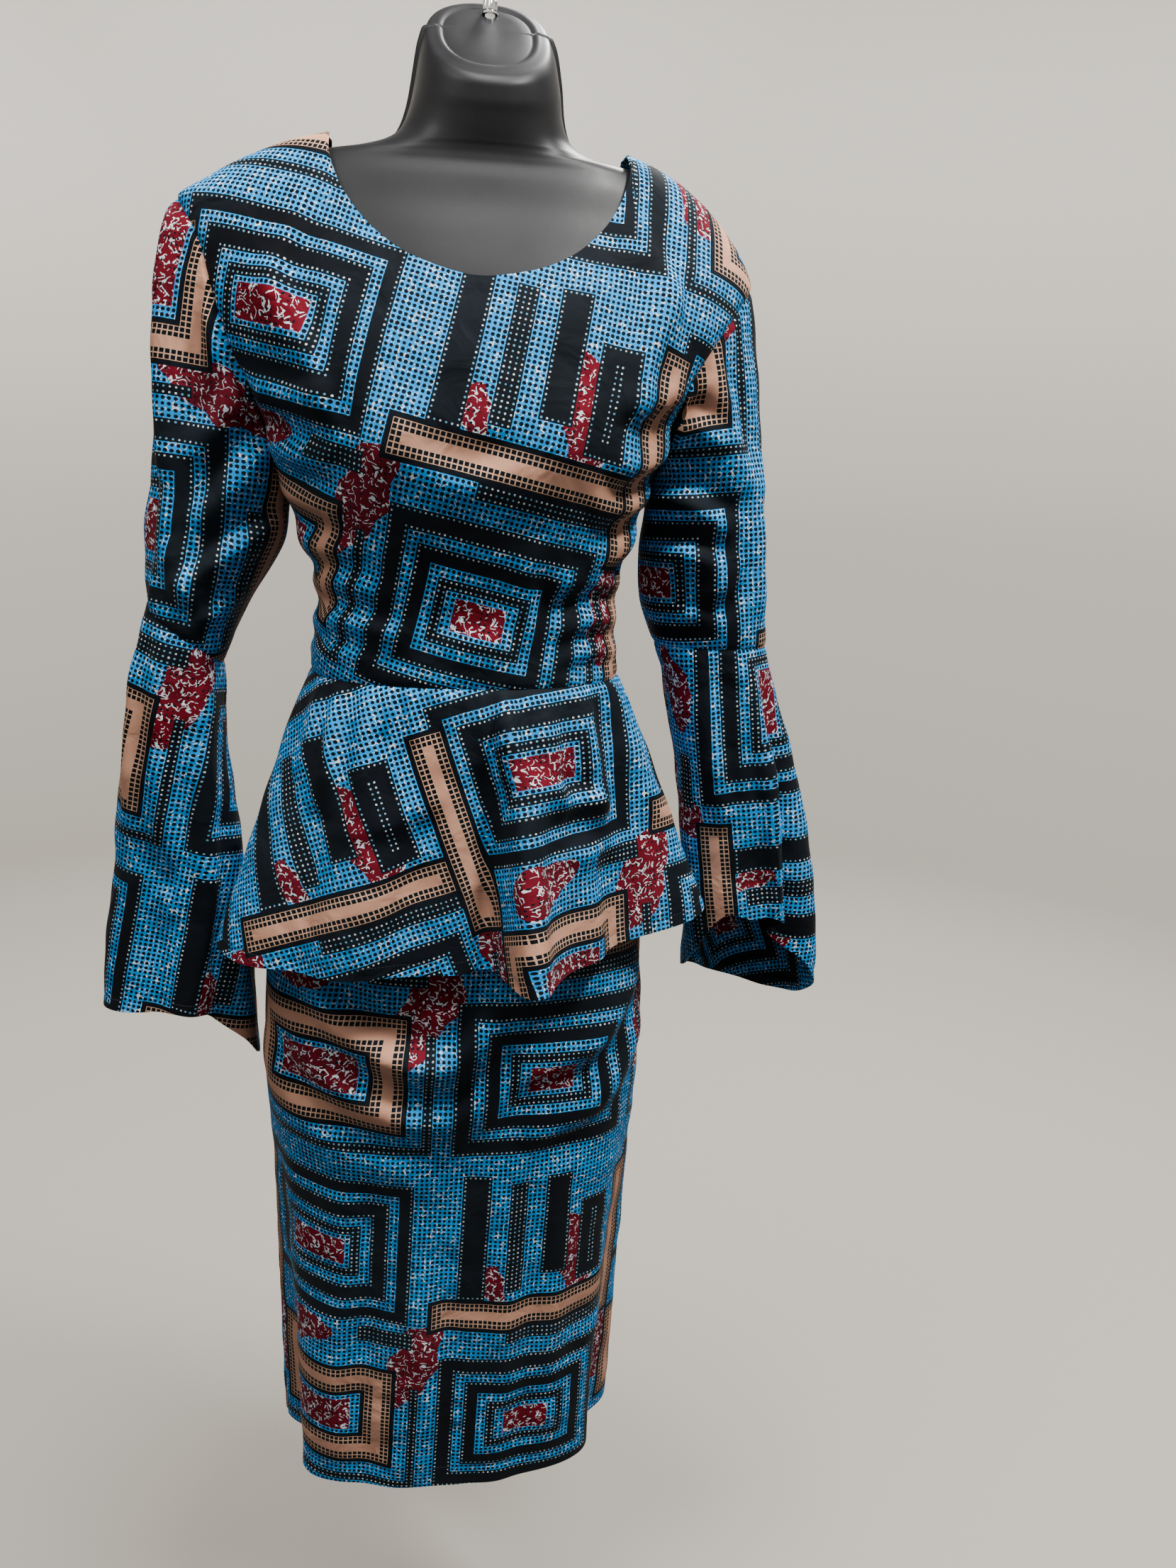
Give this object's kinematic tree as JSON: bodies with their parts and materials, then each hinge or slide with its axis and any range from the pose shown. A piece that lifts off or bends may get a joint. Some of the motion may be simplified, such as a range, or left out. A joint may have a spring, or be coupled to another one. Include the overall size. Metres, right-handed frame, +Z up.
{
  "type": "peplum dress on a hanging dress form",
  "caption": "Midi dress of printed cotton with a scoop neck, flared peplum, straight skirt and bell sleeves, filled out on a black hanging torso form.",
  "frame": {"origin": "inside the top of the hook's bow, where it rests on its rail", "axes": "+Z up, the dress faces -Y, the wearer's left is at +X"},
  "size_m": [0.6861, 0.29, 1.421],
  "materials": {
    "wax_print": "cotton with a blue, navy, tan and maroon print",
    "black_plastic": "satin",
    "bright_steel": "polished"
  },
  "bodies": {
    "root": {"bodice_front": "wax_print", "bodice_back_left": "wax_print", "bodice_back_right": "wax_print", "right_sleeve_upper": "wax_print", "right_sleeve_bell": "wax_print", "left_sleeve_upper": "wax_print", "left_sleeve_bell": "wax_print", "peplum_front": "wax_print", "peplum_back_left": "wax_print", "peplum_back_right": "wax_print", "skirt_front": "wax_print", "skirt_back_left": "wax_print", "skirt_back_right": "wax_print", "form": "black_plastic", "hook": "bright_steel"}
  },
  "joints": []
}
